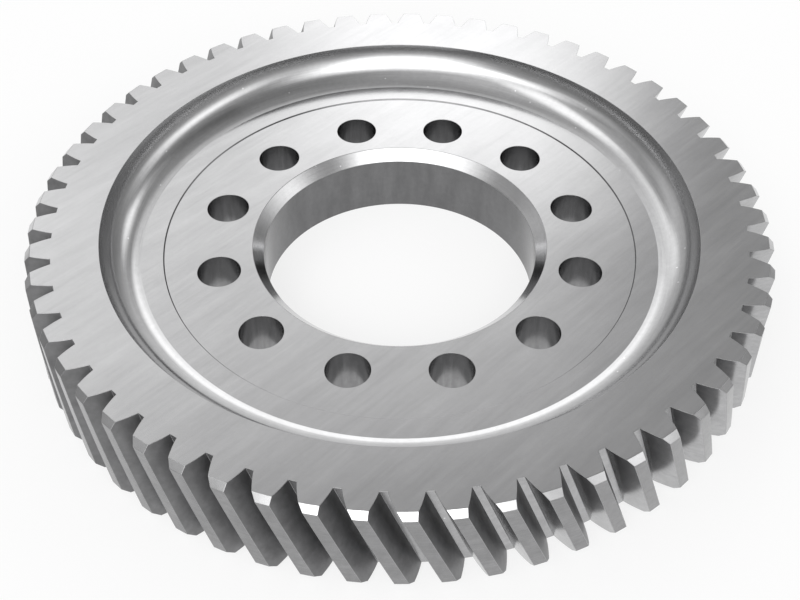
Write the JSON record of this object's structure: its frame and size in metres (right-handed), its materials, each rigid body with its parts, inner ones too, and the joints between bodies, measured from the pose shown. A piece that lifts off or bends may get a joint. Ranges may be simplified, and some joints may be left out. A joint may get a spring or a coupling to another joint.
{
  "type": "helical drive gear",
  "caption": "One-piece machined steel helical ring gear with left-hand teeth, a dished front face, a chamfered centre bore and a bolt circle.",
  "frame": {"origin": "on the bore's axis, at the rear face of the hub boss, which the gear rests on", "axes": "+Z along the bore's axis, from the rear boss towards the dished front face; +X passes midway between two bolt holes; +Y makes the frame right-handed"},
  "size_m": [0.1888, 0.1888, 0.0275],
  "materials": {
    "gear_steel": "bright machined, turned faces and hobbed flanks"
  },
  "bodies": {
    "root": {"drive_gear": "gear_steel"}
  },
  "joints": []
}
